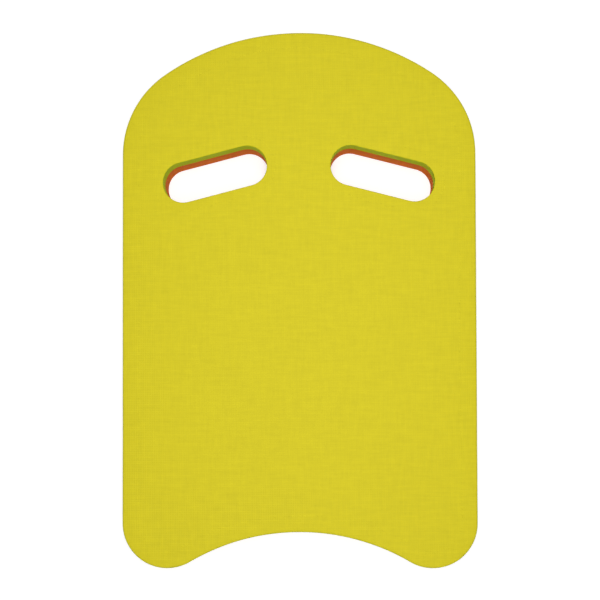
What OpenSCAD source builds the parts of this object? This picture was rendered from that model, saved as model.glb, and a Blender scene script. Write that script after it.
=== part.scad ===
// Swimming kickboard: two sheets of closed-cell foam bonded face to face and cut to
// one outline, with two slanted hand slots behind the nose and an arched tail.
// It lies flat, deck up, with its nose towards +Y and its tail towards -Y.
// The origin is the centre of the underside, under the middle of the board's box.

/* [Outline] */
// Length from the tail corners to the tip of the nose
board_l = 450; // [400:1:520]
// Width across the straight sides
board_w = 297; // [260:1:340]
// Radius of the arc across the nose
nose_r = 200; // [180:1:260]
// Radius of the shoulders, where the nose turns into the sides
shoulder_r = 82; // [40:1:120]
// Radius of the two tail corners
tail_corner_r = 37.5; // [20:0.5:50]
// Height of the tail's arch above the lowest points of the tail corners
tail_rise = 30; // [12:1:50]

/* [Sheets] */
// Thickness of the sheet that faces up
top_sheet_t = 15; // [4:0.5:30]
// Thickness of the sheet that the board rests on
bottom_sheet_t = 20; // [4:0.5:30]
// Thickness of the film of glue between the two sheets
glue_t = 0.3; // [0.1:0.05:0.5]

/* [Hand slots] */
// Length of a slot from end to end
slot_l = 89; // [75:1:105]
// Width of a slot
slot_w = 33.5; // [25:0.5:42]
// Slant of a slot, its inner end nearer to the nose
slot_slant = 14.5; // [0:0.5:25]
// Distance between the centres of the two slots
slot_spacing = 141; // [125:0.5:155]
// Distance from the tip of the nose to the line through the slots' centres
slot_from_nose = 119.5; // [100:0.5:160]

/* [Hidden] */
$fn = 96;

// The outline is a chain of arcs, each tangent to the next: nose, shoulders, straight
// sides, tail corners and the hollow arch between them.
half_w = board_w / 2;
nose_y = board_l / 2;
tail_y = -board_l / 2;
nose_c = [0, nose_y - nose_r];
shoulder_x = half_w - shoulder_r;
shoulder_c = [shoulder_x, nose_c.y + sqrt(pow(nose_r - shoulder_r, 2) - pow(shoulder_x, 2))];
nose_half_angle = atan2(shoulder_x, shoulder_c.y - nose_c.y);
corner_c = [half_w - tail_corner_r, tail_y + tail_corner_r];
arch_r = (pow(corner_c.x, 2) + pow(tail_rise, 2) - 2 * tail_corner_r * tail_rise) / (2 * tail_rise);
arch_c = [0, tail_y + tail_rise - arch_r];
arch_end = arch_c + (corner_c - arch_c) * arch_r / (arch_r + tail_corner_r);

// The stack, from the underside up
glue_z = bottom_sheet_t;
top_z = glue_z + glue_t;

slot_y = nose_y - slot_from_nose;
slot_straight = slot_l - slot_w;

// The part of the outline under the arc of the nose
module nose_sector() {
  reach = 2 * nose_r;
  spread = reach * tan(nose_half_angle);
  translate(nose_c)
    intersection() {
      circle(nose_r);
      polygon([[0, 0], [spread, reach], [-spread, reach]]);
    }
}

// The part of the outline between the tail corners, hollowed by the arch
module tail_web() {
  difference() {
    polygon([corner_c, [-corner_c.x, corner_c.y], [-arch_end.x, arch_end.y], arch_end]);
    translate(arch_c)
      circle(arch_r);
  }
}

// The board's outline without its slots
module outline() {
  nose_sector();
  translate([-half_w, corner_c.y])
    square([board_w, shoulder_c.y - corner_c.y]);
  tail_web();
  for (side = [-1, 1]) {
    translate([side * shoulder_c.x, shoulder_c.y])
      circle(shoulder_r);
    translate([side * corner_c.x, corner_c.y])
      circle(tail_corner_r);
  }
}

// One slot with its length along X
module slot() {
  square([slot_straight, slot_w], center = true);
  for (end = [-1, 1])
    translate([end * slot_straight / 2, 0])
      circle(slot_w / 2);
}

// The board seen from above
module plan() {
  difference() {
    outline();
    for (side = [-1, 1])
      translate([side * slot_spacing / 2, slot_y])
        rotate(-side * slot_slant)
          slot();
  }
}

module top_sheet() {
  color([0.85, 0.80, 0.18])
    translate([0, 0, top_z])
      linear_extrude(top_sheet_t)
        plan();
}

module glue_film() {
  color([0.78, 0.74, 0.50])
    translate([0, 0, glue_z])
      linear_extrude(glue_t)
        plan();
}

module bottom_sheet() {
  color([0.90, 0.42, 0.14])
    linear_extrude(bottom_sheet_t)
      plan();
}

top_sheet();
glue_film();
bottom_sheet();
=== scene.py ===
import math

import bpy
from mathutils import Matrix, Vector, geometry, kdtree, noise


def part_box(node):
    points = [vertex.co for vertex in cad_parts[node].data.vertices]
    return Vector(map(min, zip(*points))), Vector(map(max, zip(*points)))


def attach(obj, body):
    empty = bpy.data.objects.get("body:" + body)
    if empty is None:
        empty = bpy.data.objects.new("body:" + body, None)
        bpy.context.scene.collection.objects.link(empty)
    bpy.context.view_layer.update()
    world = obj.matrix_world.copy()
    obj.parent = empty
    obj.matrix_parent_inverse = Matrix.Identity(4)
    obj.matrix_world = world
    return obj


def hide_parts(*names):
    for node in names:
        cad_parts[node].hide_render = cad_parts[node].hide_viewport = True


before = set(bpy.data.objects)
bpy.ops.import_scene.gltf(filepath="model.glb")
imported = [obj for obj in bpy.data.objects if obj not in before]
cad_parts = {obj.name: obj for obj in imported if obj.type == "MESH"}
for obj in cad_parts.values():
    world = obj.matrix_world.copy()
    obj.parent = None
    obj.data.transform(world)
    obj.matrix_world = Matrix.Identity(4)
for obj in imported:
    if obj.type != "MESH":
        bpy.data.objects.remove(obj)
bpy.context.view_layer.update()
print("frame loaded:", sorted(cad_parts))

mm = 0.001
scene = bpy.context.scene
scene.view_settings.view_transform = "Standard"


# Shader wires: an expression on wires adds its Math nodes
class Wire:
    def __init__(self, tree, socket=None):
        self.tree = tree
        self.socket = socket

    def node(self, kind, settings=None, inputs=None, out=0):
        made = self.tree.nodes.new(kind)
        for key, value in (settings or {}).items():
            setattr(made, key, value)
        for key, value in (inputs or {}).items():
            if isinstance(value, Wire):
                self.tree.links.new(value.socket, made.inputs[key])
            else:
                made.inputs[key].default_value = value
        return Wire(self.tree, made.outputs[out])

    def other(self, out):  # another output of the same node
        return Wire(self.tree, self.socket.node.outputs[out])

    def maths(self, operation, first, second=0.0):
        return self.node("ShaderNodeMath", {"operation": operation}, {0: first, 1: second})

    def __add__(self, right):
        return self.maths("ADD", self, right)

    def __radd__(self, left):
        return self.maths("ADD", left, self)

    def __sub__(self, right):
        return self.maths("SUBTRACT", self, right)

    def __rsub__(self, left):
        return self.maths("SUBTRACT", left, self)

    def __mul__(self, right):
        return self.maths("MULTIPLY", self, right)

    def __rmul__(self, left):
        return self.maths("MULTIPLY", left, self)

    def __truediv__(self, right):
        return self.maths("DIVIDE", self, right)

    def __rtruediv__(self, left):
        return self.maths("DIVIDE", left, self)

    def __abs__(self):
        return self.maths("ABSOLUTE", self)


def stretched(place, across, along, up):  # coordinates counted in the given sizes, in mm
    counts = (1 / (across * mm), 1 / (along * mm), 1 / (up * mm))
    return place.node("ShaderNodeVectorMath", {"operation": "MULTIPLY"}, {0: place, 1: counts})


def grain(place, sizes, detail=2.0, rough=0.5):  # noise from 0 to 1
    return place.node("ShaderNodeTexNoise", None, {
        "Vector": stretched(place, *sizes), "Scale": 1.0, "Detail": detail, "Roughness": rough})


def centred(value):  # from 0 to 1 becomes half below and half above 0
    return value - 0.5


def ease(value, low, high):  # 0 at low, 1 at high, level beyond them
    return value.node("ShaderNodeMapRange", {"interpolation_type": "SMOOTHSTEP"}, {
        "Value": value, "From Min": low, "From Max": high})


def blended(share, first, second):
    return share.node("ShaderNodeMix", {"data_type": "RGBA"}, {
        0: share, 6: first, 7: second}, out=2)


def shaded(colour, shade):  # 1 leaves the colour as it is
    return shade.node("ShaderNodeVectorMath", {"operation": "SCALE"}, {0: colour, "Scale": shade})


def freshMaterial(name):
    material = bpy.data.materials.new(name)
    material.use_nodes = True
    material.node_tree.nodes.clear()
    return material, Wire(material.node_tree)


def showSurface(start, shader, kind="ShaderNodeOutputMaterial"):
    end = start.tree.nodes.new(kind)
    start.tree.links.new(shader.socket, end.inputs["Surface"])


# Plan of the board, in mm: the same arcs as the solids
boardPlan = dict(
    length=450, width=297, noseRadius=200, shoulderRadius=82,
    tailCornerRadius=37.5, tailRise=30,
    step=2.0,        # spacing of the points along the edge
)
handSlot = dict(
    length=89, width=33.5, slant=14.5, spacing=141, fromNose=119.5,
    step=1.5,
)


# Runs of edge points, each with its direction out of the foam
def arcRun(centre, radius, start, end, step, hollow=False):
    count = max(4, round(radius * abs(math.radians(end - start)) / step))
    facing = -1 if hollow else 1
    run = []
    for i in range(count):
        angle = math.radians(start + (end - start) * i / count)
        way = Vector((math.cos(angle), math.sin(angle)))
        run.append((centre + way * radius, way * facing))
    return run


def straightRun(start, end, outward, step):
    count = max(2, round((end - start).length / step))
    return [(start.lerp(end, i / count), outward) for i in range(count)]


def outerEdge():  # counter-clockwise from the right end of the nose's arc
    plan = boardPlan
    half = plan["width"] / 2
    noseY = plan["length"] / 2
    noseR, shoulderR, cornerR = plan["noseRadius"], plan["shoulderRadius"], plan["tailCornerRadius"]
    rise, step = plan["tailRise"], plan["step"]
    noseC = Vector((0, noseY - noseR))
    shoulderX = half - shoulderR
    shoulderY = noseC.y + math.sqrt((noseR - shoulderR) ** 2 - shoulderX ** 2)
    noseTurn = math.degrees(math.atan2(shoulderX, shoulderY - noseC.y))
    cornerX, cornerY = half - cornerR, cornerR - noseY
    archR = (cornerX ** 2 + rise ** 2 - 2 * cornerR * rise) / (2 * rise)
    archC = Vector((0, rise - noseY - archR))
    archTurn = math.degrees(math.atan2(cornerX, cornerY - archC.y))
    edge = arcRun(noseC, noseR, 90 - noseTurn, 90 + noseTurn, step)
    edge += arcRun(Vector((-shoulderX, shoulderY)), shoulderR, 90 + noseTurn, 180, step)
    edge += straightRun(Vector((-half, shoulderY)), Vector((-half, cornerY)), Vector((-1, 0)), step)
    edge += arcRun(Vector((-cornerX, cornerY)), cornerR, 180, 270 + archTurn, step)
    edge += arcRun(archC, archR, 90 + archTurn, 90 - archTurn, step, hollow=True)
    edge += arcRun(Vector((cornerX, cornerY)), cornerR, 270 - archTurn, 360, step)
    edge += straightRun(Vector((half, cornerY)), Vector((half, shoulderY)), Vector((1, 0)), step)
    edge += arcRun(Vector((shoulderX, shoulderY)), shoulderR, 0, 90 - noseTurn, step)
    return edge


def slotEdge(side):  # clockwise, because the foam lies outside it
    reach = (handSlot["length"] - handSlot["width"]) / 2
    radius, step = handSlot["width"] / 2, handSlot["step"]
    loop = arcRun(Vector((reach, 0)), radius, -90, 90, step, hollow=True)
    loop += straightRun(Vector((reach, radius)), Vector((-reach, radius)), Vector((0, -1)), step)
    loop += arcRun(Vector((-reach, 0)), radius, 90, 270, step, hollow=True)
    loop += straightRun(Vector((-reach, -radius)), Vector((reach, -radius)), Vector((0, 1)), step)
    turn = math.radians(-side * handSlot["slant"])
    centre = Vector((side * handSlot["spacing"] / 2, boardPlan["length"] / 2 - handSlot["fromNose"]))

    def turned(v):
        x = v.x * math.cos(turn) - v.y * math.sin(turn)
        y = v.x * math.sin(turn) + v.y * math.cos(turn)
        return Vector((x, y))

    return [(centre + turned(point), turned(outward)) for point, outward in reversed(loop)]


edgeLoops = [outerEdge(), slotEdge(-1), slotEdge(1)]
edgeTree = kdtree.KDTree(sum(len(loop) for loop in edgeLoops))
edgePlaces = []
for loopIndex, loop in enumerate(edgeLoops):
    for point, outward in loop:
        edgeTree.insert((point.x, point.y, 0), len(edgePlaces))
        edgePlaces.append((loopIndex, point, outward))
edgeTree.balance()
print("edge points:", [len(loop) for loop in edgeLoops])


def depthInside(x, y):  # nearest edge loop and how deep a point lies in the foam, in mm
    _, index, _ = edgeTree.find((x, y, 0))
    loopIndex, point, outward = edgePlaces[index]
    away = Vector((x, y)) - point
    return loopIndex, away.length if away.dot(outward) < 0 else -away.length


def lattice(spacing, margin):  # rows of points inside the foam, clear of its edges
    points = []
    row, y = 0, -boardPlan["length"] / 2
    while y < boardPlan["length"] / 2:
        x = -boardPlan["width"] / 2 + (spacing / 2 if row % 2 else 0)
        while x < boardPlan["width"] / 2:
            if depthInside(x, y)[1] > margin:
                points.append(Vector((x, y)))
            x += spacing
        row, y = row + 1, y + spacing * math.sqrt(3) / 2
    return points


def capFaces(rings, loose):  # triangles between closed rings, with loose points among them
    flat, edges, owner = [], [], []
    for ringIndex, ring in enumerate(rings):
        first = len(flat)
        flat += ring
        owner += [ringIndex] * len(ring)
        edges += [(first + i, first + (i + 1) % len(ring)) for i in range(len(ring))]
    flat += loose
    owner += [0] * len(loose)
    insideOnly, mergeGap = 1, 1e-6
    cut = geometry.delaunay_2d_cdt(flat, edges, [], insideOnly, mergeGap)
    triangles, origins = cut[2], cut[3]
    made = [tuple(origins[v][0] for v in face) for face in triangles]
    # a triangle on three points of one slot lies in the slot
    return [face for face in made if owner[face[0]] == 0 or len({owner[v] for v in face}) > 1]


def closeCap(points, faces, rims, inner, flip):  # a face between the rims, over the inner points
    rings = [[Vector(points[v][:2]) for v in rim] for rim in rims]
    index = [v for rim in rims for v in rim]
    index += range(len(points), len(points) + len(inner))
    points += inner
    for face in capFaces(rings, [Vector(point[:2]) for point in inner]):
        face = tuple(index[v] for v in face)
        faces.append(face[::-1] if flip else face)


def wallFaces(rims, flip):  # quads from each rim of points to the next
    quads = []
    for low, high in zip(rims, rims[1:]):
        for i in range(len(low)):
            after = (i + 1) % len(low)
            quads.append((low[i], low[after], high[after], high[i]))
    return [quad[::-1] for quad in quads] if flip else quads


def wave(point, size, seed):  # smooth unevenness from 0 to 1
    return 0.5 + 0.5 * noise.noise(Vector((point.x / size, point.y / size, seed)))


def addMesh(name, points, faces, material):
    mesh = bpy.data.meshes.new(name)
    mesh.from_pydata([(p[0] * mm, p[1] * mm, p[2] * mm) for p in points], [], faces)
    mesh.validate()
    mesh.materials.append(material)
    piece = bpy.data.objects.new(name, mesh)
    scene.collection.objects.link(piece)
    mesh.polygons.foreach_set("use_smooth", [True] * len(mesh.polygons))
    return piece


# A foam sheet, built from its glued side out to its open face
cutWall = dict(
    seamSteps=4, edgeSteps=8,          # steps round the edge at the seam and at the face
    leastSteps=6, stepHeight=1.2,      # steps up the plain wall between them
)


def wallSteps(height, seamRound, edgeRound, bow):  # inset and height of each rim of a cut wall
    seamSteps, edgeSteps = cutWall["seamSteps"], cutWall["edgeSteps"]
    steps = []
    for i in range(seamSteps):
        turn = math.radians(90 * i / seamSteps)
        steps.append((seamRound * (1 - math.sin(turn)), seamRound * (1 - math.cos(turn))))
    plain = height - seamRound - edgeRound
    count = max(cutWall["leastSteps"], round(plain / cutWall["stepHeight"]))
    for i in range(count):
        steps.append((bow * math.sin(math.pi * i / count), seamRound + plain * i / count))
    for i in range(edgeSteps + 1):
        turn = math.radians(90 * i / edgeSteps)
        steps.append((edgeRound * (1 - math.cos(turn)), height - edgeRound * (1 - math.sin(turn))))
    return steps


def foamSheet(name, spec, material):
    lowCorner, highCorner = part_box(spec["node"])
    low, high = lowCorner[2] / mm, highCorner[2] / mm
    glued, up = (low, 1) if spec["faceUp"] else (high, -1)
    height = high - low
    flip = not spec["faceUp"]
    points, faces, gluedRims, faceRims = [], [], [], []

    def sunk(place, depth, share, isSlot):  # how far the face gives way at a place
        sag = spec["slotSink"] if isSlot else spec["rimSink"]
        reach = spec["slotReach"] if isSlot else spec["rimReach"]
        roll = sag * max(0.0, 1 - depth / reach) ** 2
        uneven = spec["uneven"] * wave(place, spec["unevenSize"], spec["seed"])
        return share * (roll + uneven)

    for loopIndex, loop in enumerate(edgeLoops):
        isSlot = loopIndex > 0
        rounding = spec["slotRound"] if isSlot else spec["rimRound"]
        fade = spec["sinkFade"] * rounding
        rims = []
        for inset, rise in wallSteps(height, spec["seamRound"], rounding, spec["bow"]):
            share = min(1.0, max(0.0, (rise - height + fade) / fade))
            rims.append(range(len(points), len(points) + len(loop)))
            for point, outward in loop:
                trim = spec["trim"] * wave(point, spec["trimSize"], spec["trimSeed"])
                place = point - outward * (inset + trim)
                z = rise - sunk(place, inset, share * share, isSlot)
                points.append((place.x, place.y, glued + up * z))
        faces += wallFaces(rims, flip)
        gluedRims.append(rims[0])
        faceRims.append(rims[-1])

    inner = []
    for point in lattice(spec["spacing"], spec["rimRound"] + spec["faceMargin"]):
        loopIndex, depth = depthInside(point.x, point.y)
        z = height - sunk(point, depth, 1.0, loopIndex > 0)
        inner.append((point.x, point.y, glued + up * z))
    closeCap(points, faces, faceRims, inner, flip)

    # the glued side is flat
    inner = [(point.x, point.y, glued) for point in lattice(spec["innerSpacing"], spec["innerMargin"])]
    closeCap(points, faces, gluedRims, inner, not flip)

    piece = addMesh(name, points, faces, material)
    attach(piece, "root")
    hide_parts(spec["node"])
    print(name, "built:", len(points), "points,", len(faces), "faces")


# Finish of a foam sheet: embossed face, plain cut walls with broken cells
def foamFinish(name, look):
    material, start = freshMaterial(name)
    place = start.node("ShaderNodeTexCoord", out="Object")
    across = place.node("ShaderNodeSeparateXYZ", None, {0: place}, out="X")
    along = across.other("Y")
    facing = start.node("ShaderNodeNewGeometry", out="Normal")
    tilt = abs(facing.node("ShaderNodeSeparateXYZ", None, {0: facing}, out="Z"))
    cut = 1 - ease(tilt, look["cutFrom"], look["faceFrom"])  # 1 on cut walls, 0 on the face

    # linen emboss: threads both ways, over and under each other
    pitch = look["threadPitch"] * mm
    sway = centred(grain(place, look["swaySize"], detail=1.0)) * look["sway"]
    warpWave = start.maths("SINE", (across / pitch + sway) * math.pi)
    weftWave = start.maths("SINE", (along / pitch + sway) * math.pi)
    cross = warpWave * weftWave
    warpSlub = grain(place, look["warpSlub"], rough=look["slubRough"])
    weftSlub = grain(place, look["weftSlub"], rough=look["slubRough"])
    warp = (abs(warpWave) + cross) * (warpSlub + look["threadBody"])
    weft = (abs(weftWave) - cross) * (weftSlub + look["threadBody"])
    linen = start.maths("MAXIMUM", warp, weft)
    streaks = centred(warpSlub) + centred(weftSlub) * look["weftShare"]

    # cut-open cells on the walls, a fine speck and a broad mottle all over
    cells = start.node("ShaderNodeTexVoronoi", {"feature": "F1"}, {
        "Vector": stretched(place, *look["cellSize"]), "Scale": 1.0})
    pores = ease(cells, look["poreRim"], look["poreFloor"])
    mottle = centred(grain(place, look["mottleSize"], detail=3.0)) * look["mottle"]
    speck = centred(grain(place, look["speckSize"]))

    # the face is lighter on the emboss's thread ridges and slub streaks and darker between them:
    # painted light and shade of the relief; the speck and mottle are the foam's own random tone
    facePaintedReliefAndGrain = 1 + streaks * look["streakPaintedShade"] + centred(linen) * look["linenPaintedShade"]
    facePaintedReliefAndGrain = facePaintedReliefAndGrain + speck * look["grainShade"] + mottle
    # on the cut walls the open cells are darker: painted shade in their hollows; the speck and mottle
    # are the foam's own random tone
    cutPaintedPoresAndGrain = 1 - pores * look["poreHollowPaintedShade"] + speck * look["speckShade"] + mottle
    colour = blended(cut, shaded(look["face"], facePaintedReliefAndGrain), shaded(look["cut"], cutPaintedPoresAndGrain))
    rough = look["rough"] + speck * look["speckRough"] + cut * look["cutRough"]

    emboss = (linen + streaks * look["streakRelief"]) * (1 - cut) * look["embossDepth"]
    dents = pores * cut * look["poreDepth"]
    bump = start.node("ShaderNodeBump", None, {
        "Strength": 1.0, "Distance": mm, "Height": emboss - dents}, out="Normal")
    shader = start.node("ShaderNodeBsdfPrincipled", None, {
        "Base Color": colour, "Roughness": rough, "Normal": bump,
        "Specular IOR Level": look["gloss"]})
    showSurface(start, shader)
    return material


# Sizes and depths in mm, shades as shares of the colour
yellowLook = dict(
    face=(0.717, 0.622, 0.017), cut=(0.562, 0.735, 0.007),
    cutFrom=0.35, faceFrom=0.85,                        # upward share of the normal, wall to face
    threadPitch=1.9, threadBody=0.2,
    sway=0.5, swaySize=(30, 30, 30),                    # the threads wander, in threads
    warpSlub=(2.8, 16, 16), weftSlub=(16, 2.8, 16), slubRough=0.6,
    # the streak and linen shares paint the emboss's light and shade into the colour
    streakPaintedShade=0.105, weftShare=1.25, linenPaintedShade=0.030, grainShade=0.030,
    mottle=0.03, mottleSize=(60, 60, 30),
    # the pores' darkening is painted shade in the hollows of the open cells
    cellSize=(0.55, 0.55, 0.55), poreRim=0.55, poreFloor=0.05, poreHollowPaintedShade=0.16,
    speckSize=(0.7, 0.7, 0.7), speckShade=0.12,
    embossDepth=0.07, streakRelief=0.5, poreDepth=0.12,
    rough=0.60, speckRough=0.06, cutRough=0.12, gloss=0.12,
)
orangeLook = dict(
    yellowLook, face=(0.830, 0.195, 0.012), cut=(0.820, 0.195, 0.004),
)

topSheet = dict(
    node="top_sheet", slot="yellow_foam", faceUp=True, seed=1.0, trimSeed=6.0,
    rimRound=2.0, slotRound=0.9, seamRound=0.8,
    bow=0.25,                          # hollow of the cut wall
    trim=0.18, trimSize=34.0,          # unevenness of the cut
    rimSink=0.4, rimReach=15.0,        # the face falls away towards the rim
    slotSink=0.15, slotReach=5.0,
    sinkFade=3,                        # the wall follows the face down over 3 roundings
    uneven=0.18, unevenSize=70.0,
    spacing=4.0, faceMargin=2.2,       # mesh of the face
    innerSpacing=24.0, innerMargin=8.0,
)
bottomSheet = dict(
    topSheet, node="bottom_sheet", slot="orange_foam", faceUp=False, seed=11.0, trimSeed=16.0,
)

foamSheet("yellow_top_sheet", topSheet, foamFinish("yellow_foam", yellowLook))
foamSheet("orange_bottom_sheet", bottomSheet, foamFinish("orange_foam", orangeLook))


# The film of glue shows as a fine line in the seam
glueLine = dict(
    node="glue_film", slot="glue", seed=21.0,
    inset=0.25, swell=0.12,            # set back from the cut walls, swollen at half height
    ragged=0.3, raggedSize=9.0,
    innerSpacing=24.0, innerMargin=8.0,
    pale=(0.62, 0.56, 0.26, 1), dark=(0.46, 0.38, 0.14, 1),
    cloudSize=(6, 6, 2), cloudRough=0.6, cloudRange=(0.3, 0.7),
    beadSize=(0.8, 0.8, 0.4), beadDepth=0.2, beadStrength=0.6,
    rough=0.35, beadRough=0.25, gloss=0.5,
)


def glueFinish():
    look = glueLine
    material, start = freshMaterial("dry_glue")
    place = start.node("ShaderNodeTexCoord", out="Object")
    cloud = grain(place, look["cloudSize"], detail=3.0, rough=look["cloudRough"])
    beads = grain(place, look["beadSize"])
    colour = blended(ease(cloud, *look["cloudRange"]), look["dark"], look["pale"])
    bump = start.node("ShaderNodeBump", None, {
        "Strength": look["beadStrength"], "Distance": look["beadDepth"] * mm,
        "Height": beads}, out="Normal")
    shader = start.node("ShaderNodeBsdfPrincipled", None, {
        "Base Color": colour, "Roughness": look["rough"] + beads * look["beadRough"], "Normal": bump,
        "Specular IOR Level": look["gloss"]})
    showSurface(start, shader)
    return material


def glueFilm():
    spec = glueLine
    lowCorner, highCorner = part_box(spec["node"])
    low, high = lowCorner[2] / mm, highCorner[2] / mm
    levels = [(0.0, low), (-spec["swell"], (low + high) / 2), (0.0, high)]
    points, faces, lowRims, highRims = [], [], [], []
    for loop in edgeLoops:
        rims = []
        for inset, z in levels:
            rims.append(range(len(points), len(points) + len(loop)))
            for point, outward in loop:
                ragged = spec["ragged"] * wave(point, spec["raggedSize"], spec["seed"])
                place = point - outward * (spec["inset"] + inset + ragged)
                points.append((place.x, place.y, z))
        faces += wallFaces(rims, False)
        lowRims.append(rims[0])
        highRims.append(rims[-1])
    inner = lattice(spec["innerSpacing"], spec["innerMargin"])
    closeCap(points, faces, lowRims, [(point.x, point.y, low) for point in inner], True)
    closeCap(points, faces, highRims, [(point.x, point.y, high) for point in inner], False)
    piece = addMesh("glue_line", points, faces, glueFinish())
    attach(piece, "root")
    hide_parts(spec["node"])
    print("glue_line built:", len(points), "points,", len(faces), "faces")


glueFilm()


# Studio: pale floor, soft lights and a plain sky, in metres and degrees
studio = dict(
    floorSize=12.0, floorDrop=0.0003, floorColour=(0.80, 0.80, 0.80, 1),
    floorGlow=0.72, floorShade=(0.50, 0.50, 0.50, 1),   # what the camera sees of the floor
    shadeReach=(0.32, 0.62),                            # past this the floor is plain white
    sky=0.26,
    lamps=[
        dict(name="key", place=(0.017, 0.0, 0.80), turn=(0, 0, 0), size=(0.08, 1.00), watts=4.85),
        dict(name="fill", place=(0.30, -1.30, 1.60), turn=(39, 10, 0), size=(1.4, 1.4), watts=1.5),
    ],
)


def straightToEye(start):  # rays that show the background itself
    path = start.node("ShaderNodeLightPath", out="Is Camera Ray")
    shown = path + path.other("Is Glossy Ray") + path.other("Is Transmission Ray")
    return start.maths("MINIMUM", shown, 1.0)


def either(share, first, second):  # one shader or the other, by share
    return share.node("ShaderNodeMixShader", None, {0: share, 1: first, 2: second})


def studioFloor():
    half = studio["floorSize"] / 2
    z = -studio["floorDrop"]
    mesh = bpy.data.meshes.new("floor")
    corners = [(-half, -half, z), (half, -half, z), (half, half, z), (-half, half, z)]
    mesh.from_pydata(corners, [], [(0, 1, 2, 3)])
    floor = bpy.data.objects.new("floor", mesh)
    scene.collection.objects.link(floor)
    material, start = freshMaterial("pale_floor")
    mesh.materials.append(material)
    plain = start.node("ShaderNodeBsdfDiffuse", None, {"Color": studio["floorColour"]})
    shade = start.node("ShaderNodeBsdfDiffuse", None, {"Color": studio["floorShade"]})
    glow = start.node("ShaderNodeEmission", None, {"Strength": studio["floorGlow"]})
    near = start.node("ShaderNodeAddShader", None, {0: shade, 1: glow})
    white = start.node("ShaderNodeEmission", None, {"Strength": 1.0})
    place = start.node("ShaderNodeTexCoord", out="Object")
    away = start.node("ShaderNodeVectorMath", {"operation": "LENGTH"}, {0: place}, out="Value")
    seen = either(ease(away, *studio["shadeReach"]), near, white)
    showSurface(start, either(straightToEye(start), plain, seen))


def studioSky():
    world = bpy.data.worlds.new("sky")
    world.use_nodes = True
    world.node_tree.nodes.clear()
    scene.world = world
    start = Wire(world.node_tree)
    light = start.node("ShaderNodeBackground", None, {"Color": (1, 1, 1, 1), "Strength": studio["sky"]})
    white = start.node("ShaderNodeBackground", None, {"Color": (1, 1, 1, 1), "Strength": 1.0})
    showSurface(start, either(straightToEye(start), light, white), "ShaderNodeOutputWorld")


def studioLamps():
    for lamp in studio["lamps"]:
        light = bpy.data.lights.new(lamp["name"], "AREA")
        light.shape = "RECTANGLE"
        light.size, light.size_y = lamp["size"]
        light.energy = lamp["watts"]
        holder = bpy.data.objects.new(lamp["name"], light)
        holder.location = lamp["place"]
        holder.rotation_euler = [math.radians(angle) for angle in lamp["turn"]]
        holder.visible_camera = False
        scene.collection.objects.link(holder)


studioFloor()
studioSky()
studioLamps()
print("studio set")

# Camera above the board, a little towards the tail, tipped to the nose
photoView = dict(
    place=(0.0140, -0.0583, 0.8952), turn=(1.15, 0.89, -0.16), lens=61.68, sensor=36.0, shiftUp=0.08,
)
camera = bpy.data.cameras.new("photo_view")
camera.sensor_width = photoView["sensor"]
camera.lens = photoView["lens"]
camera.shift_y = photoView["shiftUp"]
eye = bpy.data.objects.new("photo_view", camera)
eye.location = photoView["place"]
eye.rotation_euler = [math.radians(angle) for angle in photoView["turn"]]
scene.collection.objects.link(eye)
scene.camera = eye
print("camera set")
